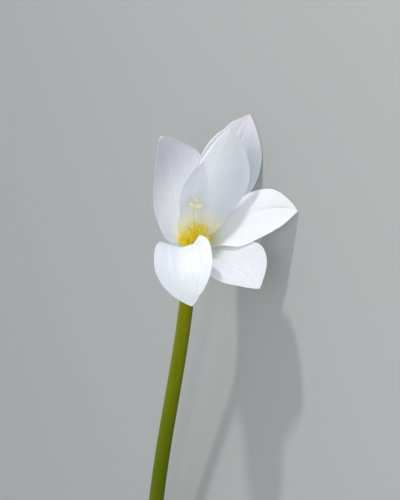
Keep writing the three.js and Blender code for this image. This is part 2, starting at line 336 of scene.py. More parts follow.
# %% Shape a tepal
TEPAL_COLUMNS = 88
TEPAL_ROWS = 132
TEPAL_ROOT = 0.6
VEINS_EACH_SIDE = 6.5
VEIN_HEIGHT = 0.006
BLADE_THICKNESS = 0.36
SAG_WAY = np.array([0, 0.81, -0.59])
EDGE_THINNESS = 0.3
FOLD_FADE = 0.2


def relief(detail, u, s):
    """How far the blade stands off its plain form, towards its inner face."""
    height = VEIN_HEIGHT * np.cos(2 * math.pi * VEINS_EACH_SIDE * u) * step(0.05, 0.3, s) * step(1, 0.85, s)
    for place, start, end, reach, rise in detail["folds"]:
        fold = rise * hump(u, place, reach) * step(start, start + FOLD_FADE, s)
        height = height + fold * step(end, end - FOLD_FADE, s)
    wave = np.sin(2 * math.pi * detail["waves"] * s + detail["phase"] + 1.3 * np.sign(u))
    return height + detail["wave"] * wave * np.abs(u) ** 3 * step(0.1, 0.4, s) * step(1.05, 0.85, s)


def tepal_points(form, detail, u, s):
    """Where the points of a blade lie, at u across from -1 to 1 and s along from 0 to 1."""
    stations, point, along, right, up = midrib(form)
    point, along, right, up = (
        np.stack([np.interp(s, stations, rows[:, k]) for k in range(3)], axis=1)
        for rows in (point, along, right, up)
    )
    pushed = half_width(form, s)
    for side, place, reach, push in detail["edges"]:
        pushed += push * hump(s, place, reach) * step(0, 1, side * u)
    cup = np.radians(detail["foot_cup"] + (form["cup"] - detail["foot_cup"]) * step(0, CUP_SETTLES_AT, s))
    arc = (cup * u)[:, None]
    radius = (pushed / cup)[:, None]
    off = relief(detail, u, s)[:, None]
    blade = point + right * (radius - off) * np.sin(arc) + up * (radius - (radius - off) * np.cos(arc))
    blade -= along * TEPAL_ROOT * step(0.04, 0, s)[:, None]
    bearing = np.radians(form["bearing"])
    cosine, sine = np.cos(bearing), np.sin(bearing)
    spin = np.array([[cosine, -sine, 0], [sine, cosine, 0], [0, 0, 1]])
    sag = np.zeros_like(s)
    for place, height, reach_across, reach_along, depth in detail.get("sags", []):
        sag += depth * hump(u, place, reach_across) * hump(s, height, reach_along)
    return blade @ spin.T + sag[:, None] * SAG_WAY


def make_tepal(node):
    """A flat grid, moved into the form of the blade and given its thickness."""
    form, detail = TEPALS[node], DETAILS[node]
    pick_only()
    bpy.ops.mesh.primitive_grid_add(x_subdivisions=TEPAL_COLUMNS, y_subdivisions=TEPAL_ROWS, size=2)
    blade = bpy.context.object
    flat = np.array([corner.co for corner in blade.data.vertices])
    u, s = flat[:, 0], (flat[:, 1] + 1) / 2
    blade.data.vertices.foreach_set("co", tepal_points(form, detail, u, s).ravel())
    mark_faces(blade, len(blade.data.polygons))
    body = blade.vertex_groups.new(name="body")
    fullness = step(1, 0.75, np.abs(u)) * step(1, 0.9, s)
    for index, weight in enumerate(fullness):
        body.add([index], float(weight), "REPLACE")
    apply_modifier(
        blade, "SOLIDIFY", thickness=BLADE_THICKNESS, offset=0, vertex_group="body",
        thickness_vertex_group=EDGE_THINNESS, material_offset=1,
    )
    pick_only(blade)
    bpy.ops.object.mode_set(mode="EDIT")
    bpy.ops.mesh.select_all(action="SELECT")
    bpy.ops.mesh.normals_make_consistent(inside=False)
    bpy.ops.object.mode_set(mode="OBJECT")
    return finish_piece(blade, node)


for node in TEPALS:
    make_tepal(node)

# %% [markdown]
# The floral tube carries the flower. It widens upwards into the throat and downwards into the ovary. A
# curve with a bevel would make an even pipe, but the real one swells and sways, so a ring is extruded
# from station to station and resized at each. Below the lip it flares early, and so takes in the feet of
# the tepals. At the top the ring turns inwards, and makes the lining of the throat that they grow from.

# %% Stations of the floral tube
TUBE_LENGTH = 106
TUBE_RADIUS_TOP = 1.6
TUBE_RADIUS_FOOT = 1.85
FUNNEL_LENGTH = 9
FUNNEL_RADIUS = 3.8
FLARE_ENDS_AT = 0.86
FLARE_CURVE = 1.6
OVARY_LENGTH = 8
OVARY_RADIUS = 2.3
THROAT_LIP = 1.2
TUBE_STEPS = 30
RING_SIDES = 40
SWAY = 0.4
SWAY_WAVES = 1.15
OVARY_RINGS = [
    (0.15, 0.9), (0.5, 1.5), (1.6, 2.1), (3.4, OVARY_RADIUS), (5.6, OVARY_RADIUS - 0.05),
    (OVARY_LENGTH, 2.02),
]
FLARE_PLACES = (0.25, 0.45, 0.62, 0.74, FLARE_ENDS_AT, 1.0)
LINING_RINGS = [
    (THROAT_LIP + 0.12, FUNNEL_RADIUS - 0.12), (THROAT_LIP - 0.1, FUNNEL_RADIUS - 0.3),
    (0.2, 3.0), (-0.6, 2.3), (-1.4, 1.6), (-2.2, 1.1), (-3, 0.8),
]


def tube_stations():
    """Height and radius of each ring, from the ovary's foot up over the lip and down the lining."""
    foot = -TUBE_LENGTH
    stations = [(foot + rise, radius) for rise, radius in OVARY_RINGS]
    low, high = foot + OVARY_LENGTH + 2, -FUNNEL_LENGTH
    for k in range(TUBE_STEPS + 1):
        t = k / TUBE_STEPS
        radius = TUBE_RADIUS_FOOT + (TUBE_RADIUS_TOP - TUBE_RADIUS_FOOT) * t
        stations.append((low + (high - low) * t, radius))
    for t in FLARE_PLACES:
        opened = min(1, t / FLARE_ENDS_AT) ** FLARE_CURVE
        radius = TUBE_RADIUS_TOP + (FUNNEL_RADIUS - TUBE_RADIUS_TOP) * opened
        stations.append((high + (THROAT_LIP - high) * t, radius))
    return stations + LINING_RINGS


def sway(height):
    """The stalk isn't quite straight: how far its middle stands aside at a height."""
    down = np.clip(-height / TUBE_LENGTH, 0, 1)
    return SWAY * math.sin(2 * math.pi * SWAY_WAVES * down) * float(step(0, 0.15, down))


def extrude_rings(name, stations, sides, swaying=False):
    """A closed body of rings, extruded upwards one after the other."""
    pick_only()
    height, radius = stations[0]
    bpy.ops.mesh.primitive_circle_add(vertices=sides, radius=radius, fill_type="NGON", location=(0, 0, 0))
    body = bpy.context.object
    body.name = name
    bpy.ops.object.mode_set(mode="EDIT")
    bpy.ops.mesh.select_all(action="SELECT")
    bpy.ops.transform.translate(value=(0, 0, height))
    for height_next, radius_next in stations[1:]:
        bpy.ops.mesh.extrude_region_move(TRANSFORM_OT_translate={"value": (0, 0, height_next - height)})
        grow = radius_next / radius
        bpy.ops.transform.resize(value=(grow, grow, 1), center_override=(0, 0, height_next))
        height, radius = height_next, radius_next
    bpy.ops.mesh.select_all(action="SELECT")
    bpy.ops.mesh.normals_make_consistent(inside=False)
    bpy.ops.object.mode_set(mode="OBJECT")
    if swaying:
        for corner in body.data.vertices:
            corner.co.x += sway(corner.co.z)
    return body


tube = extrude_rings("floral_tube", tube_stations(), RING_SIDES, swaying=True)
apply_modifier(tube, "SUBSURF", levels=1, render_levels=1)
finish_piece(tube, "floral_tube")

# %% [markdown]
# The scape is the hollow flower stalk below the ovary, cut across with a knife. Its rings go up the
# outside, and its cut end is inset and pushed in to show that it is hollow.

# %% The scape
SEAT_GAP = 0.3
SCAPE_LENGTH = 26
SCAPE_RADIUS = 1.8
SCAPE_HEAD_RADIUS = 2.6
SCAPE_WALL = 0.8
SCAPE_HOLLOW = 14


def scape_stations():
    """Height and radius of each ring of the scape, from the cut end up to its head."""
    head = -TUBE_LENGTH - SEAT_GAP
    foot = head - SCAPE_LENGTH
    stations = [(foot, SCAPE_RADIUS - 0.05), (foot + 0.1, SCAPE_RADIUS)]
    stations += [(foot + (SCAPE_LENGTH - 3.4) * k / 8, SCAPE_RADIUS) for k in range(1, 9)]
    return stations + [(head - 2, 2.05), (head - 1, 2.45), (head - 0.4, SCAPE_HEAD_RADIUS), (head, 2.5)]


scape = extrude_rings("scape", scape_stations(), RING_SIDES)
pick_only(scape)
bpy.ops.object.mode_set(mode="EDIT")
bpy.ops.mesh.select_mode(type="FACE")
bpy.ops.mesh.select_all(action="DESELECT")
bpy.ops.object.mode_set(mode="OBJECT")
cut_end = min(scape.data.polygons, key=lambda face: (face.center.z, -face.area))
cut_end.select = True
bpy.ops.object.mode_set(mode="EDIT")
bpy.ops.mesh.inset(thickness=SCAPE_WALL)
bpy.ops.mesh.extrude_region_move(TRANSFORM_OT_translate={"value": (0, 0, SCAPE_HOLLOW)})
bpy.ops.object.mode_set(mode="OBJECT")
apply_modifier(scape, "BEVEL", width=0.06, segments=2, angle_limit=math.radians(50))
finish_piece(scape, "scape")

# %% [markdown]
# The spathe is a thin dry sheath round the ovary, split into two points at its mouth. It starts as an
# open tube of rings. The mouth is drawn down on two sides, and Solidify gives it a wall.

# %% The spathe
SPATHE_LENGTH = 27
SPATHE_WALL = 0.3
SPATHE_NOTCH_DEPTH = 11
SPATHE_STATIONS = [
    (0, 2.15), (0.03, 2.45), (0.09, 2.95), (0.2, 3.1), (0.3, 3.0), (0.42, 2.8), (0.55, 2.6), (0.7, 2.5),
    (0.85, 2.42), (1, 2.35),
]
SPATHE_SIDES = 64


def spathe_rings():
    """The rings of the sheath as heights and radii."""
    return [(-TUBE_LENGTH + SPATHE_LENGTH * t, radius) for t, radius in SPATHE_STATIONS]


spathe = extrude_rings("spathe", spathe_rings(), SPATHE_SIDES)
pick_only(spathe)
bpy.ops.object.mode_set(mode="EDIT")
bpy.ops.mesh.select_mode(type="FACE")
bpy.ops.mesh.select_all(action="DESELECT")
bpy.ops.mesh.select_face_by_sides(number=4, type="GREATER")
bpy.ops.mesh.delete(type="ONLY_FACE")
bpy.ops.mesh.select_all(action="SELECT")
bpy.ops.mesh.subdivide(number_cuts=2)
bpy.ops.object.mode_set(mode="OBJECT")
for corner in spathe.data.vertices:
    up = (corner.co.z + TUBE_LENGTH) / SPATHE_LENGTH
    around = math.atan2(corner.co.y, corner.co.x)
    notch = 1 - abs(math.sin(around)) ** 0.8
    corner.co.z -= SPATHE_NOTCH_DEPTH * notch * float(step(0.35, 1, up))
    ripple = 1 + 0.035 * math.sin(5 * around + 3 * up) * float(step(0.3, 1, up))
    corner.co.x *= ripple
    corner.co.y *= ripple
apply_modifier(spathe, "SOLIDIFY", thickness=SPATHE_WALL, offset=0)
apply_modifier(spathe, "SUBSURF", levels=1, render_levels=1)
finish_piece(spathe, "spathe")

# %% [markdown]
# A stamen is a thin filament with an anther on top. The filament is a curve with a round bevel, because
# that keeps its section even round the bend, and it is made a mesh at once. The anther is two stretched
# spheres side by side, drawn together by a voxel remesh, which leaves the furrow between them. Some
# anthers are fuller than others, and plump says by how much.

# %% Places of the stamens
STAMEN_FOOT_RADIUS = 1.25
STAMEN_FOOT_DEPTH = 2
FILAMENT_RADIUS = 0.26
FILAMENT_FOOT_SCALE = 1.25
FILAMENT_TAPER = 0.6
FILAMENT_KNEE = 0.45
FILAMENT_GRIP = 1 / 6
ANTHER_LENGTH = 2.4
ANTHER_LOBE_RADIUS = 0.2
ANTHER_LOBE_SPACING = 0.26
ANTHER_CURL = 0.22
ANTHER_SWELL = 0.25
ANTHER_VOXEL = 0.045
STAMENS = [
    {"bearing": 150, "radius": 1.0, "around": 177, "height": 3.7, "tilt": 34, "facing": 190},
    {"bearing": 100, "radius": 1.35, "around": 98, "height": 3.9, "tilt": 8, "facing": 180},
    {"bearing": 30, "radius": 1.95, "around": 25, "height": 4.15, "tilt": 112, "facing": -10, "plump": 1.5},
    {"bearing": -30, "radius": 2, "around": -27, "height": 3.5, "tilt": 50, "facing": -80, "plump": 1.4},
    {"bearing": -95, "radius": 2, "around": -105, "height": 1.5, "tilt": 65, "facing": -100},
    {"bearing": -150, "radius": 2, "around": -150, "height": 1.7, "tilt": 60, "facing": -95},
]


def aim(length, tilt, bearing):
    """The vector of a given length at an angle from the axis, towards a bearing."""
    lean, way = math.radians(tilt), math.radians(bearing)
    return Vector((math.sin(lean) * math.cos(way), math.sin(lean) * math.sin(way), math.cos(lean))) * length


# %% Filaments and other thin rods
ROD_POINTS = 9


def rod(points, radii, sides=10):
    """A round rod through points, with its own radius at each, made from a bevelled curve."""
    data = bpy.data.curves.new("rod", "CURVE")
    data.dimensions = "3D"
    data.bevel_depth = 1
    data.bevel_resolution = max(1, sides // 4 - 1)
    data.use_fill_caps = True
    spline = data.splines.new("NURBS")
    spline.points.add(len(points) - 1)
    spline.use_endpoint_u = True
    spline.order_u = 3
    spline.resolution_u = 4
    for corner, point, radius in zip(spline.points, points, radii):
        corner.co = (*point, 1)
        corner.radius = radius
    thing = bpy.data.objects.new("rod", data)
    bpy.context.scene.collection.objects.link(thing)
    pick_only(thing)
    bpy.ops.object.convert(target="MESH")
    return bpy.context.object


def bow(start, knee, end, count=ROD_POINTS):
    """Points on the smooth bow from start to end that is drawn towards the knee."""
    places = [k / (count - 1) for k in range(count)]
    return [start * (1 - t) ** 2 + knee * 2 * t * (1 - t) + end * t**2 for t in places]


# %% Anthers and whole stamens
def anther(middle, direction, plump):
    """Two lobes with a furrow between them, curled a little along their length."""
    lobes = []
    for side in (-0.5, 0.5):
        pick_only()
        bpy.ops.mesh.primitive_uv_sphere_add(segments=20, ring_count=16, radius=1)
        lobe = bpy.context.object
        for corner in lobe.data.vertices:
            x, y, z = corner.co
            full = 1 + ANTHER_SWELL * (1 - z * z)
            corner.co = (
                (x * full * ANTHER_LOBE_RADIUS + side * ANTHER_LOBE_SPACING) * plump,
                y * full * ANTHER_LOBE_RADIUS * plump - ANTHER_CURL * z * z,
                z * ANTHER_LENGTH / 2,
            )
        lobes.append(lobe)
    head = join(lobes, "anther")
    apply_modifier(head, "REMESH", mode="VOXEL", voxel_size=ANTHER_VOXEL, use_smooth_shade=True)
    aimed = direction.to_track_quat("Z", "Y").to_matrix().to_4x4()
    head.matrix_world = Matrix.Translation(middle) @ aimed
    pick_only(head)
    bpy.ops.object.transform_apply()
    return head


def make_stamen(index, form):
    """One stamen: its filament, slender at both ends, and its anther."""
    middle = aim(form["radius"], 90, form["around"]) + Vector((0, 0, form["height"]))
    direction = aim(1, form["tilt"], form["facing"])
    foot = aim(STAMEN_FOOT_RADIUS, 90, form["bearing"]) - Vector((0, 0, STAMEN_FOOT_DEPTH))
    held = middle - direction * ANTHER_LENGTH * FILAMENT_GRIP
    knee = Vector((foot.x, foot.y, form["height"] * FILAMENT_KNEE))
    tapers = [FILAMENT_FOOT_SCALE - FILAMENT_TAPER * k / (ROD_POINTS - 1) for k in range(ROD_POINTS)]
    stalk = rod(bow(foot, knee, held), [FILAMENT_RADIUS * taper for taper in tapers])
    head = anther(middle, direction, form.get("plump", 1))
    head_faces = len(head.data.polygons)
    stamen = join([head, stalk], f"stamen_{index}")
    mark_faces(stamen, head_faces)
    return finish_piece(stamen, f"stamen_{index}")


for index, form in enumerate(STAMENS, start=1):
    make_stamen(index, form)

# %% [markdown]
# The style stands a little above the stamens and ends in a stigma of three plump lobes. Both are rods
# through a few points: the lobes swell in the middle and are round at the tip.

# %% The style and its stigma
STYLE_RADIUS = 0.4
STYLE_PATH = [
    (0, 0, -5), (0, 0, -2), (0.1, 0, 1), (0.3, -0.1, 4), (0.3, -0.15, 6), (0, -0.25, 8.5),
    (-0.5, -0.25, 10.4),
]
STYLE_TOP_SCALE = 1.15
STIGMA_LOBES = 3
STIGMA_FIRST_BEARING = 90
STIGMA_LOBE_LENGTH = 2.1
STIGMA_LOBE_RADIUS = 0.78
STIGMA_SPREAD = 80
STIGMA_SWELL = [0.7, 0.8, 0.92, 1.02, 1.1, 1.15, 1.15, 1.05, 0.8]
STIGMA_VOXEL = 0.08


def make_style():
    """The style with the lobes of its stigma, fused by a voxel remesh."""
    points = [Vector(place) for place in STYLE_PATH]
    radii = [STYLE_RADIUS] * (len(points) - 1) + [STYLE_RADIUS * STYLE_TOP_SCALE]
    parts = [rod(points, radii, sides=16)]
    head = points[-1]
    for lobe in range(STIGMA_LOBES):
        bearing = STIGMA_FIRST_BEARING + 360 / STIGMA_LOBES * lobe
        root = head - aim(STIGMA_LOBE_RADIUS, 0, 0)
        bend = head + aim(STIGMA_LOBE_LENGTH / 2, STIGMA_SPREAD / 2, bearing)
        tip = bend + aim(STIGMA_LOBE_LENGTH / 2, STIGMA_SPREAD * 1.5, bearing)
        parts.append(rod(bow(root, bend, tip), [STIGMA_LOBE_RADIUS * k for k in STIGMA_SWELL], sides=16))
    style = join(parts, "style_and_stigma")
    apply_modifier(style, "REMESH", mode="VOXEL", voxel_size=STIGMA_VOXEL, use_smooth_shade=True)
    apply_modifier(style, "SMOOTH", factor=0.5, iterations=8)
    return finish_piece(style, "style_and_stigma")


make_style()

# %% [markdown]
# Materials come next. Effects that several finishes share are node groups, which put out only colours
# and heights. The first group draws lengthwise veins from the blade's own UV map, where U runs across and
# V from foot to tip, so that the veins draw together at both ends as the real ones do.

# %% Small helpers for node trees
def new_node(tree, kind, **settings):
    """Adds a node, and sets its properties and the values of its inputs by name."""
    node = tree.nodes.new(kind)
    for name, value in settings.items():
        if hasattr(node, name):
            setattr(node, name, value)
        else:
            node.inputs[name.replace("_", " ")].default_value = value
    return node


def math_node(tree, operation, first, second=0.5):
    """A Math node whose inputs are numbers or sockets."""
    node = tree.nodes.new("ShaderNodeMath")
    node.operation = operation
    for place, value in enumerate((first, second)):
        if isinstance(value, (int, float)):
            node.inputs[place].default_value = value
        else:
            tree.links.new(value, node.inputs[place])
    return node.outputs[0]


def smooth_range(tree, value, start, end):
    """A Map Range node that runs smoothly from 0 to 1."""
    node = tree.nodes.new("ShaderNodeMapRange")
    node.interpolation_type = "SMOOTHSTEP"
    tree.links.new(value, node.inputs["Value"])
    for name, number in (("From Min", start), ("From Max", end)):
        if isinstance(number, (int, float)):
            node.inputs[name].default_value = number
        else:
            tree.links.new(number, node.inputs[name])
    return node.outputs["Result"]


def blend_colours(tree, share, below, above):
    """A Mix node for colours: share says how much of the second one shows."""
    node = tree.nodes.new("ShaderNodeMix")
    node.data_type = "RGBA"
    for socket, value in ((node.inputs[0], share), (node.inputs[6], below), (node.inputs[7], above)):
        if isinstance(value, bpy.types.NodeSocket):
            tree.links.new(value, socket)
        else:
            socket.default_value = value
    return node.outputs[2]


def new_group(name, inputs, outputs):
    """A shader node group with named sockets: each input has a kind and a default."""
    group = bpy.data.node_groups.new(name, "ShaderNodeTree")
    for socket_name, (kind, value) in inputs.items():
        socket = group.interface.new_socket(name=socket_name, in_out="INPUT", socket_type=kind)
        socket.default_value = value
    for socket_name, kind in outputs.items():
        group.interface.new_socket(name=socket_name, in_out="OUTPUT", socket_type=kind)
    source, sink = group.nodes.new("NodeGroupInput"), group.nodes.new("NodeGroupOutput")
    return group, source.outputs, sink.inputs


# %% Vein group
FLOAT, COLOUR = "NodeSocketFloat", "NodeSocketColor"
FINE_VEINS = 3.35
FINE_VEIN_SHARE = 0.4


def make_vein_group():
    """Lengthwise veins: a mask of soft lines and a height for the bump."""
    group, given, out = new_group(
        "lengthwise_veins",
        {"Veins": (FLOAT, 17.0), "Wander": (FLOAT, 0.9), "Grain": (FLOAT, 70.0)},
        {"Lines": FLOAT, "Height": FLOAT},
    )
    uv = group.nodes.new("ShaderNodeUVMap")
    parts = group.nodes.new("ShaderNodeSeparateXYZ")
    group.links.new(uv.outputs["UV"], parts.inputs[0])
    stretch = new_node(group, "ShaderNodeMapping", vector_type="POINT")
    stretch.inputs["Scale"].default_value = (9.0, 2.2, 1.0)
    group.links.new(uv.outputs["UV"], stretch.inputs["Vector"])
    drift = new_node(group, "ShaderNodeTexNoise", Scale=1.0, Detail=3.0, Roughness=0.55)
    group.links.new(stretch.outputs["Vector"], drift.inputs["Vector"])
    wander = math_node(group, "MULTIPLY", drift.outputs["Fac"], given["Wander"])
    across = math_node(group, "MULTIPLY", parts.outputs["X"], given["Veins"])
    across = math_node(group, "ADD", across, wander)
    broad = math_node(group, "COSINE", math_node(group, "MULTIPLY", across, 2 * math.pi))
    fine = math_node(group, "COSINE", math_node(group, "MULTIPLY", across, 2 * math.pi * FINE_VEINS))
    broad_part = math_node(group, "MULTIPLY", broad, 1 - FINE_VEIN_SHARE)
    fine_part = math_node(group, "MULTIPLY", fine, FINE_VEIN_SHARE)
    both = math_node(group, "ADD", broad_part, fine_part)
    strands = new_node(group, "ShaderNodeMapping", vector_type="POINT")
    strands.inputs["Scale"].default_value = (1.0, 0.12, 1.0)
    group.links.new(uv.outputs["UV"], strands.inputs["Vector"])
    grain = new_node(group, "ShaderNodeTexNoise", Detail=4.0, Roughness=0.6)
    group.links.new(strands.outputs["Vector"], grain.inputs["Vector"])
    group.links.new(given["Grain"], grain.inputs["Scale"])
    height = math_node(group, "ADD", math_node(group, "MULTIPLY", both, 0.15), grain.outputs["Fac"])
    unbroken = smooth_range(group, both, -0.1, 0.9)
    present = smooth_range(group, grain.outputs["Fac"], 0.4, 0.6)
    group.links.new(math_node(group, "MULTIPLY", unbroken, present), out["Lines"])
    group.links.new(height, out["Height"])
    return group


vein_group = make_vein_group()
print("group", vein_group.name)

# %% [markdown]
# A tepal is white with a breath of lavender. Its foot is gold in the throat and fades through cream, and the
# very tip of some is yellow green. On the back outer tepal a pink flush lies over the upper half, and on the
# left outer tepal the same layer is a grey painted shade that darkens its upper part. A cool grey tint over
# one side of three tepals is painted shade. Light shines through a tepal, so a share of a Translucent shader
# is mixed into the Principled one. At the foot of two tepals an emission paints light, which stands in for
# sunlight coming through the thin foot.

# %% Tepal material
TEPAL_ROUGHNESS = 0.48
TEPAL_SHINE = 0.35
VEIN_BUMP_DISTANCE = 0.00012
COLOUR_DRIFT = 0.12
PAINTED_LIGHT_REACH = (0.34, 0.06)


def make_tepal_material(name, look):
    """The finish of one face of a tepal, coloured along its V coordinate."""
    material = bpy.data.materials.new(name)
    material.use_nodes = True
    tree = material.node_tree
    tree.nodes.clear()
    uv = tree.nodes.new("ShaderNodeUVMap")
    parts = tree.nodes.new("ShaderNodeSeparateXYZ")
    tree.links.new(uv.outputs["UV"], parts.inputs[0])
    veins = new_node(tree, "ShaderNodeGroup", node_tree=vein_group)
    cloud = new_node(tree, "ShaderNodeTexNoise", Scale=3.0, Detail=3.0)
    tree.links.new(uv.outputs["UV"], cloud.inputs["Vector"])
    drift = math_node(tree, "SUBTRACT", cloud.outputs["Fac"], 0.5)
    drift = math_node(tree, "MULTIPLY", drift, COLOUR_DRIFT)
    place = math_node(tree, "ADD", parts.outputs["Y"], drift)
    vein_share = math_node(tree, "MULTIPLY", veins.outputs["Lines"], look["vein_share"])
    colour = blend_colours(tree, vein_share, look["body"], look["vein"])
    # a pink flush over the upper blade; on the left outer tepal this layer is grey and is painted shade
    flush_and_painted_shade = smooth_range(tree, place, look["flush_and_painted_shade_from"], 0.95)
    flush_and_painted_shade = math_node(tree, "MULTIPLY", flush_and_painted_shade, look["flush_and_painted_shade_share"])
    colour = blend_colours(tree, flush_and_painted_shade, colour, look["flush_and_painted_shade"])
    # painted shade: a cool grey tint laid over one side of the blade by its U coordinate, fading out towards
    # the tip
    shade = smooth_range(tree, parts.outputs["X"], *look["side"])
    shade = math_node(tree, "MULTIPLY", shade, look["painted_shade_share"])
    shade = math_node(tree, "MULTIPLY", shade, smooth_range(tree, place, 1.0, 0.6))
    colour = blend_colours(tree, shade, colour, look["painted_shade_tint"])
    for layer, full_at in (("glow", 0.1), ("gold", 0.0)):
        share = smooth_range(tree, place, look[f"{layer}_reach"], full_at)
        share = math_node(tree, "MULTIPLY", share, look[f"{layer}_share"])
        colour = blend_colours(tree, share, colour, look[layer])
    if look["tip_from"] < 1:
        tip = smooth_range(tree, parts.outputs["Y"], look["tip_from"], 1.0)
        colour = blend_colours(tree, tip, colour, look["tip"])
    bump = new_node(tree, "ShaderNodeBump", Strength=look["bump"], Distance=VEIN_BUMP_DISTANCE)
    tree.links.new(veins.outputs["Height"], bump.inputs["Height"])
    skin = new_node(tree, "ShaderNodeBsdfPrincipled", Roughness=TEPAL_ROUGHNESS)
    skin.inputs["Specular IOR Level"].default_value = TEPAL_SHINE
    # painted light: near its foot the blade emits a colour of its own, in place of sunlight coming through
    # the thin foot
    skin.inputs["Emission Strength"].default_value = look["painted_light_strength"]
    near_foot = smooth_range(tree, place, *PAINTED_LIGHT_REACH)
    painted_foot_light = blend_colours(tree, near_foot, (0, 0, 0, 1), look["painted_light_colour"])
    tree.links.new(painted_foot_light, skin.inputs["Emission Color"])
    tree.links.new(colour, skin.inputs["Base Color"])
    tree.links.new(bump.outputs["Normal"], skin.inputs["Normal"])
    through = tree.nodes.new("ShaderNodeBsdfTranslucent")
    tree.links.new(colour, through.inputs["Color"])
    tree.links.new(bump.outputs["Normal"], through.inputs["Normal"])
    mix = new_node(tree, "ShaderNodeMixShader")
    mix.inputs[0].default_value = look["translucent"]
    tree.links.new(skin.outputs[0], mix.inputs[1])
    tree.links.new(through.outputs[0], mix.inputs[2])
    output = tree.nodes.new("ShaderNodeOutputMaterial")
    tree.links.new(mix.outputs[0], output.inputs["Surface"])
    return material


PLAIN_LOOK = {
    "body": (0.91, 0.92, 0.945, 1), "vein": (0.74, 0.77, 0.87, 1), "vein_share": 0.42,
    "flush_and_painted_shade": (0.80, 0.74, 0.84, 1), "flush_and_painted_shade_from": 0.5, "flush_and_painted_shade_share": 0.0,
    "side": (0.4, 0.85), "painted_shade_tint": (0.49, 0.56, 0.59, 1), "painted_shade_share": 0.0,
    "glow": (0.98, 0.95, 0.72, 1), "glow_reach": 0.3, "glow_share": 0.0,
    "gold": (0.97, 0.86, 0.24, 1), "gold_reach": 0.12, "gold_share": 0.9,
    "tip": (0.80, 0.82, 0.45, 1), "tip_from": 1, "translucent": 0.55, "bump": 0.35,
    "painted_light_colour": (1.0, 0.74, 0.36, 1), "painted_light_strength": 0.0,
}
LOOKS = {
    # the left outer tepal: its grey flush layer is painted shade over the upper blade, and its foot emits
    # white painted light
    "tepal_outer_left": {
        "body": (0.97, 0.975, 0.985, 1),
        "flush_and_painted_shade": (0.66, 0.65, 0.71, 1), "flush_and_painted_shade_share": 0.75, "flush_and_painted_shade_from": 0.35,
        "glow_share": 0.6, "glow_reach": 0.16, "gold": (0.99, 0.95, 0.55, 1), "gold_share": 0.5,
        "translucent": 0.7, "painted_light_colour": (0.95, 0.97, 1.0, 1), "painted_light_strength": 0.45,
        "tip": (0.93, 0.95, 0.68, 1), "tip_from": 0.97,
    },
    # the back outer tepal: a teal-grey painted shade over one side
    "tepal_outer_back": {"flush_and_painted_shade_share": 0.4, "painted_shade_share": 0.75},
    "tepal_outer_right": {"tip_from": 0.975, "vein_share": 0.6, "gold_reach": 0.06},
    # the back inner tepal: a grey painted shade over one side, and orange painted light emitted at its foot
    "tepal_inner_back": {
        "body": (0.94, 0.95, 0.97, 1), "glow": (1.0, 0.98, 0.84, 1), "glow_share": 0.85, "glow_reach": 0.32,
        "gold": (1.0, 0.9, 0.2, 1), "gold_reach": 0.1, "gold_share": 0.95, "translucent": 0.68,
        "painted_light_strength": 0.26, "side": (0.6, 0.95), "painted_shade_tint": (0.76, 0.80, 0.84, 1), "painted_shade_share": 0.6,
    },
    "tepal_inner_right": {
        "body": (0.97, 0.975, 0.985, 1), "glow": (0.80, 0.78, 0.48, 1), "glow_share": 0.5, "glow_reach": 0.2,
    },
    # the front inner tepal: a bluish grey painted shade over one side
    "tepal_inner_front": {
        "body": (0.93, 0.95, 0.975, 1), "vein_share": 0.75,
        "side": (0.45, 0.95), "painted_shade_tint": (0.77, 0.80, 0.87, 1), "painted_shade_share": 0.85,
    },
}
BACK_LOOK = {
    "glow": (0.86, 0.89, 0.70, 1), "glow_share": 0.6, "glow_reach": 0.3,
    "gold": (0.76, 0.81, 0.50, 1), "gold_reach": 0.16, "gold_share": 0.9,
    "painted_shade_share": 0.0, "painted_light_strength": 0.0,
}

for node, change in LOOKS.items():
    inside = make_tepal_material(f"{node}_inside", {**PLAIN_LOOK, **change})
    back = make_tepal_material(f"{node}_back", {**PLAIN_LOOK, **change, **BACK_LOOK})
    dress(node, inside, back)
print(len(LOOKS) * 2, "tepal materials")

# %% [markdown]
# The stalk, the spathe, the anthers and the stigma are plant tissue of other colours. They share one
# recipe: two colours blended by long streaks that run with the stalk, and the same streaks as a bump.

# %% Streak group
def make_streak_group():
    """Streaks along one direction of the object coordinates, with finer mottling over them."""
    group, given, out = new_group(
        "streaks",
        {
            "First": (COLOUR, (0.5, 0.5, 0.5, 1)), "Second": (COLOUR, (0.4, 0.4, 0.4, 1)),
            "Density": (FLOAT, 900.0), "Stretch": (FLOAT, 0.03), "Mottle": (FLOAT, 0.3),
        },
        {"Color": COLOUR, "Height": FLOAT},
    )
    where = group.nodes.new("ShaderNodeTexCoord")
    level = new_node(group, "ShaderNodeMapping", vector_type="TEXTURE")
    level.inputs["Rotation"].default_value = (-math.radians(LYING_LIFT), 0, 0)
    group.links.new(where.outputs["Object"], level.inputs["Vector"])
    squeeze = new_node(group, "ShaderNodeCombineXYZ", X=1.0, Z=1.0)
    group.links.new(given["Stretch"], squeeze.inputs["Y"])
    long = new_node(group, "ShaderNodeVectorMath", operation="MULTIPLY")
    group.links.new(level.outputs["Vector"], long.inputs[0])
    group.links.new(squeeze.outputs["Vector"], long.inputs[1])
    streaks = new_node(group, "ShaderNodeTexNoise", Detail=3.0, Roughness=0.6)
    group.links.new(long.outputs["Vector"], streaks.inputs["Vector"])
    group.links.new(given["Density"], streaks.inputs["Scale"])
    mottle = new_node(group, "ShaderNodeTexNoise", Scale=420.0, Detail=4.0, Roughness=0.6)
    group.links.new(where.outputs["Object"], mottle.inputs["Vector"])
    soft = math_node(group, "SUBTRACT", mottle.outputs["Fac"], 0.5)
    soft = math_node(group, "MULTIPLY", soft, given["Mottle"])
    share = math_node(group, "ADD", streaks.outputs["Fac"], soft)
    share = smooth_range(group, share, 0.3, 0.7)
    group.links.new(blend_colours(group, share, given["First"], given["Second"]), out["Color"])
    group.links.new(share, out["Height"])
    return group


streak_group = make_streak_group()


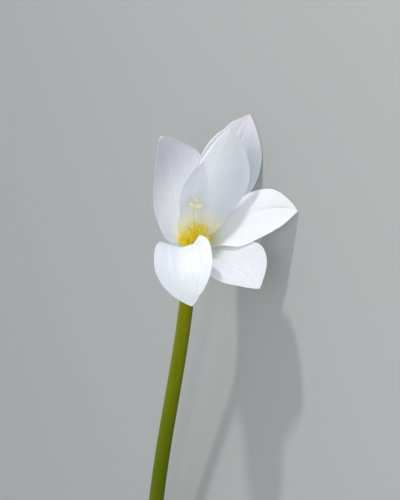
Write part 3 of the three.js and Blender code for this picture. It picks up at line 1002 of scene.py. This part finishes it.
def height_above_throat(tree):
    """How far a point stands above the throat along the flower's axis, in millimetres."""
    where = tree.nodes.new("ShaderNodeTexCoord")
    arm = new_node(tree, "ShaderNodeVectorMath", operation="SUBTRACT")
    tree.links.new(where.outputs["Object"], arm.inputs[0])
    arm.inputs[1].default_value = throat
    along = new_node(tree, "ShaderNodeVectorMath", operation="DOT_PRODUCT")
    tree.links.new(arm.outputs["Vector"], along.inputs[0])
    along.inputs[1].default_value = axis
    return math_node(tree, "DIVIDE", along.outputs["Value"], MM)


def make_tissue(
    name, first, second, roughness, bump, shine=0.3, distance=0.0001, density=900.0, stretch=0.03, mottle=0.3,
    tints=(), painted_glow=0.0,
):
    """A Principled finish whose colour and bump come from the streak group.

    Each tint is a colour with the height where it is gone and the height where it is full. With painted_glow
    the finish emits its own colour as painted light, in place of light that shines through from outside.
    """
    material = bpy.data.materials.new(name)
    material.use_nodes = True
    tree = material.node_tree
    skin = tree.nodes["Principled BSDF"]
    skin.inputs["Roughness"].default_value = roughness
    skin.inputs["Specular IOR Level"].default_value = shine
    streaks = new_node(
        tree, "ShaderNodeGroup", node_tree=streak_group,
        First=first, Second=second, Density=density, Stretch=stretch, Mottle=mottle,
    )
    relief_node = new_node(tree, "ShaderNodeBump", Strength=bump, Distance=distance)
    tree.links.new(streaks.outputs["Height"], relief_node.inputs["Height"])
    tree.links.new(relief_node.outputs["Normal"], skin.inputs["Normal"])
    colour = streaks.outputs["Color"]
    for tint, gone, full in tints:
        colour = blend_colours(tree, smooth_range(tree, height_above_throat(tree), gone, full), colour, tint)
    tree.links.new(colour, skin.inputs["Base Color"])
    if painted_glow:
        skin.inputs["Emission Strength"].default_value = painted_glow
        tree.links.new(colour, skin.inputs["Emission Color"])
    return material


LINING_DEPTH = -7


def faces_inside_throat(piece):
    """For each face, 1 where it lies inside the throat and looks towards the flower's axis, else 0."""
    back = lay_down.inverted()
    inside = []
    for face in piece.data.polygons:
        place, facing = back @ face.center, back.to_3x3() @ face.normal
        inward = place.x * facing.x + place.y * facing.y < 0
        inside.append(int(inward and place.z > LINING_DEPTH))
    return inside


# painted light: the throat lining emits its own gold, in place of light coming through the tepals
throat_gold = make_tissue(
    "throat_gold", (0.96, 0.80, 0.03, 1), (0.90, 0.76, 0.04, 1), 0.5, 0.2, shine=0.1, painted_glow=0.2
)
tube_green = make_tissue(
    "tube_green", (0.16, 0.185, 0.001, 1), (0.22, 0.24, 0.002, 1), 0.5, 0.35, shine=0.05,
    tints=[((0.11, 0.145, 0.001, 1), -15, -70), ((0.62, 0.70, 0.35, 1), -13, 1)],
)
scape_green = make_tissue("scape_green", (0.10, 0.17, 0.01, 1), (0.17, 0.23, 0.02, 1), 0.45, 0.35, shine=0.2)
dry_sheath = make_tissue("dry_sheath", (0.5, 0.36, 0.22, 1), (0.62, 0.5, 0.36, 1), 0.6, 0.5, density=1400.0)
pollen = make_tissue(
    "pollen", (0.93, 0.72, 0.01, 1), (0.97, 0.84, 0.04, 1), 0.8, 0.8, density=6000.0, stretch=1.0, mottle=0.6
)
filament_gold = make_tissue(
    "filament", (0.93, 0.76, 0.03, 1), (0.96, 0.84, 0.12, 1), 0.45, 0.2, shine=0.1
)
stigma_cream = make_tissue(
    "stigma_cream", (0.80, 0.80, 0.54, 1), (0.88, 0.87, 0.66, 1), 0.6, 0.8,
    shine=0.1, density=3000.0, stretch=1.0, tints=[((0.88, 0.68, 0.02, 1), 7, 4.5)],
)
dress("floral_tube", tube_green, throat_gold)
lining = faces_inside_throat(pieces["floral_tube"])
pieces["floral_tube"].data.polygons.foreach_set("material_index", lining)
dress("scape", scape_green)
dress("spathe", dry_sheath)
dress("style_and_stigma", stigma_cream)
for index in range(1, len(STAMENS) + 1):
    dress(f"stamen_{index}", pollen, filament_gold)
print("tissues dressed")

# %% [markdown]
# The flower lies on a plain pale table. A plane is enough for it, because it only catches the shadow.

# %% The table
TABLE_SIZE = 4
TABLE_COLOUR = (0.36, 0.37, 0.36, 1)
TABLE_ROUGHNESS = 0.75

pick_only()
bpy.ops.mesh.primitive_plane_add(size=TABLE_SIZE, location=(0, 0, 0))
table = bpy.context.object
table.name = "table"
paint = bpy.data.materials.new("pale_table")
paint.use_nodes = True
table_skin = paint.node_tree.nodes["Principled BSDF"]
table_skin.inputs["Base Color"].default_value = TABLE_COLOUR
table_skin.inputs["Roughness"].default_value = TABLE_ROUGHNESS
table.data.materials.append(paint)

# %% [markdown]
# The picture was taken from the front of the standing flower, a little above it. The flower now lies
# down, so the camera goes with it and looks down on it. The camera's place is given round the flower's
# own axis: how far it looks down into the throat, how far it is rolled, and how far off it is.

# %% The camera
CAMERA_TILT = 36
CAMERA_ROLL = 8
CAMERA_DISTANCE = 0.45
PIXELS_PER_MM = 4.55
IMAGE_WIDTH, IMAGE_HEIGHT = 400, 500
THROAT_PIXEL = (193, 244)
SENSOR = 36

tilt, roll = math.radians(CAMERA_TILT), math.radians(CAMERA_ROLL)
sight = Vector((0, -math.cos(tilt), math.sin(tilt)))
upright = Vector((0, math.sin(tilt), math.cos(tilt)))
level = Vector((1, 0, 0))
image_right = level * math.cos(roll) + upright * math.sin(roll)
image_up = upright * math.cos(roll) - level * math.sin(roll)
to_world = turn.to_3x3()
pixel = MM / PIXELS_PER_MM
centre = throat + to_world @ (
    image_right * (IMAGE_WIDTH / 2 - THROAT_PIXEL[0]) * pixel
    - image_up * (IMAGE_HEIGHT / 2 - THROAT_PIXEL[1]) * pixel
)
camera_data = bpy.data.cameras.new("camera")
camera_data.sensor_width = SENSOR
camera_data.lens = SENSOR * (PIXELS_PER_MM / MM) * CAMERA_DISTANCE / IMAGE_HEIGHT
camera_data.clip_start = 0.01
camera = bpy.data.objects.new("camera", camera_data)
bpy.context.scene.collection.objects.link(camera)
looking = Matrix((to_world @ image_right, to_world @ image_up, to_world @ sight)).transposed()
camera.matrix_world = Matrix.Translation(centre + to_world @ sight * CAMERA_DISTANCE) @ looking.to_4x4()
bpy.context.scene.camera = camera
looks_down = math.degrees(math.asin((to_world @ sight).z))
print("lens", round(camera_data.lens, 1), "camera looks down by", round(looks_down, 1))

# %% [markdown]
# Sunlight fell almost along the flower's axis, from the upper left. A small soft lamp on that side draws
# the same shadows. A broad weak one in front lets the eye into the throat, and an even pale surrounding
# fills the rest.

# %% The light
KEY_TILT = 25
KEY_BEARING = 168
KEY_DISTANCE = 0.7
KEY_SIZE = 0.06
KEY_POWER = 3.3
FRONT_DISTANCE = 0.6
FRONT_SIZE = 0.2
FRONT_POWER = 0.95
FRONT_RAISE = 0.25
FILL_STRENGTH = 0.76
LAMP_COLOUR = (1.0, 0.98, 0.95)
SURROUND_COLOUR = (0.92, 0.95, 1.0, 1)


def add_lamp(name, way, distance, size, power):
    """A round soft lamp that stands off the throat in one direction and faces it."""
    data = bpy.data.lights.new(name, "AREA")
    data.shape = "DISK"
    data.size = size
    data.energy = power
    data.color = LAMP_COLOUR
    lamp = bpy.data.objects.new(name, data)
    bpy.context.scene.collection.objects.link(lamp)
    facing = way.to_track_quat("Z", "Y").to_matrix().to_4x4()
    lamp.matrix_world = Matrix.Translation(throat + way * distance) @ facing


key_way = to_world @ aim(1, KEY_TILT, KEY_BEARING)
front_way = (to_world @ sight + Vector((0, 0, FRONT_RAISE))).normalized()
add_lamp("key", key_way, KEY_DISTANCE, KEY_SIZE, KEY_POWER)
add_lamp("front", front_way, FRONT_DISTANCE, FRONT_SIZE, FRONT_POWER)
world = bpy.data.worlds.new("surrounding")
bpy.context.scene.world = world
world.use_nodes = True
surround = world.node_tree.nodes["Background"]
surround.inputs["Color"].default_value = SURROUND_COLOUR
surround.inputs["Strength"].default_value = FILL_STRENGTH
bpy.context.scene.view_settings.view_transform = "Standard"
print("key light stands", round(math.degrees(math.asin(key_way.z)), 1), "degrees above the table")
